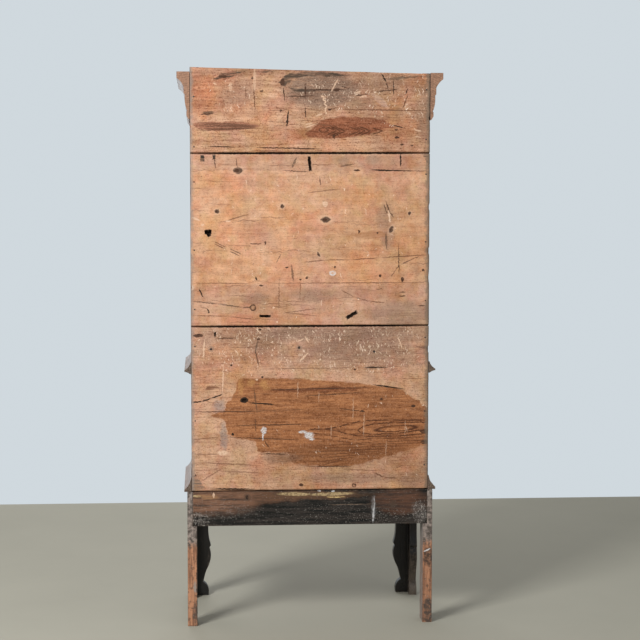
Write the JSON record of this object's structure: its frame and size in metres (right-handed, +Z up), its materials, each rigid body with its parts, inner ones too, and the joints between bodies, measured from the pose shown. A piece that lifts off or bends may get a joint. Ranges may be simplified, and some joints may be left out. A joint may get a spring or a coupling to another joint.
{
  "type": "cabinet on stand",
  "caption": "Antique pine cabinet on stand: panelled pivot doors over long drawers, moulded cornice, waist and base, on sawn scroll front legs and plain back legs.",
  "frame": {"origin": "on the floor under the middle of the bounding box", "axes": "+Z up, front with doors and drawers towards -Y, back boards towards +Y, +X to the right seen from the front"},
  "size_m": [0.8816, 0.4728, 1.8665],
  "materials": {
    "raw_pine": "aged raw pine",
    "inner_pine": "raw pine inside",
    "stained_pine": "worn red-brown stain",
    "stand_dark": "dark brown worn paint",
    "leg_brown": "worn brown stain",
    "leg_black": "black-brown stain",
    "iron": "dark forged iron",
    "knob_wood": "turned, dark stain"
  },
  "bodies": {
    "cabinet": {"front_leg_face_left": "leg_black", "front_leg_face_right": "leg_black", "front_leg_side_left": "leg_black", "front_leg_side_right": "leg_black", "back_leg_left": "leg_brown", "back_leg_right": "leg_brown", "stand_back_rail": "stand_dark", "stand_front_apron": "stand_dark", "stand_side_rail_left": "stand_dark", "stand_side_rail_right": "stand_dark", "back_board_bottom": "raw_pine", "back_board_middle": "raw_pine", "back_board_top": "raw_pine", "cabinet_bottom": "inner_pine", "drawer_divider": "inner_pine", "waist_board": "inner_pine", "cupboard_shelf": "inner_pine", "cabinet_top": "inner_pine", "cabinet_side_left": "stained_pine", "cabinet_side_right": "stained_pine", "frieze_rail": "stained_pine", "cornice_front": "stained_pine", "cornice_left": "stained_pine", "cornice_right": "stained_pine", "waist_moulding_front": "stained_pine", "waist_moulding_left": "stained_pine", "waist_moulding_right": "stained_pine", "base_moulding_front": "stained_pine", "base_moulding_left": "stained_pine", "base_moulding_right": "stained_pine", "door_left_pivot_top": "iron", "door_left_pivot_bottom": "iron", "door_right_pivot_top": "iron", "door_right_pivot_bottom": "iron"},
    "door_left": {"door_left_hinge_stile": "stained_pine", "door_left_meeting_stile": "stained_pine", "door_left_top_rail": "stained_pine", "door_left_bottom_rail": "stained_pine", "door_left_panel": "stained_pine"},
    "door_right": {"door_right_hinge_stile": "stained_pine", "door_right_meeting_stile": "stained_pine", "door_right_top_rail": "stained_pine", "door_right_bottom_rail": "stained_pine", "door_right_panel": "stained_pine", "door_knob": "knob_wood"},
    "lower_drawer": {"lower_drawer_front": "stained_pine", "lower_drawer_bottom": "inner_pine", "lower_drawer_side_left": "inner_pine", "lower_drawer_side_right": "inner_pine", "lower_drawer_back": "inner_pine", "lower_drawer_knob_left": "knob_wood", "lower_drawer_knob_right": "knob_wood"},
    "upper_drawer": {"upper_drawer_front": "stained_pine", "upper_drawer_bottom": "inner_pine", "upper_drawer_side_left": "inner_pine", "upper_drawer_side_right": "inner_pine", "upper_drawer_back": "inner_pine", "upper_drawer_knob_left": "knob_wood", "upper_drawer_knob_right": "knob_wood"}
  },
  "joints": [
    {"name": "door_left_hinge", "type": "hinge", "parent": "cabinet", "child": "door_left", "pos_m": [-0.3595, -0.18175, 0.8925], "axis": [0, 0, -1], "range_deg": [0, 90]},
    {"name": "door_right_hinge", "type": "hinge", "parent": "cabinet", "child": "door_right", "pos_m": [0.3595, -0.18175, 0.8925], "axis": [0, 0, 1], "range_deg": [0, 90]},
    {"name": "lower_drawer_slide", "type": "slide", "parent": "cabinet", "child": "lower_drawer", "axis": [0, -1, 0], "range_m": [0, 0.29]},
    {"name": "upper_drawer_slide", "type": "slide", "parent": "cabinet", "child": "upper_drawer", "axis": [0, -1, 0], "range_m": [0, 0.29]}
  ]
}
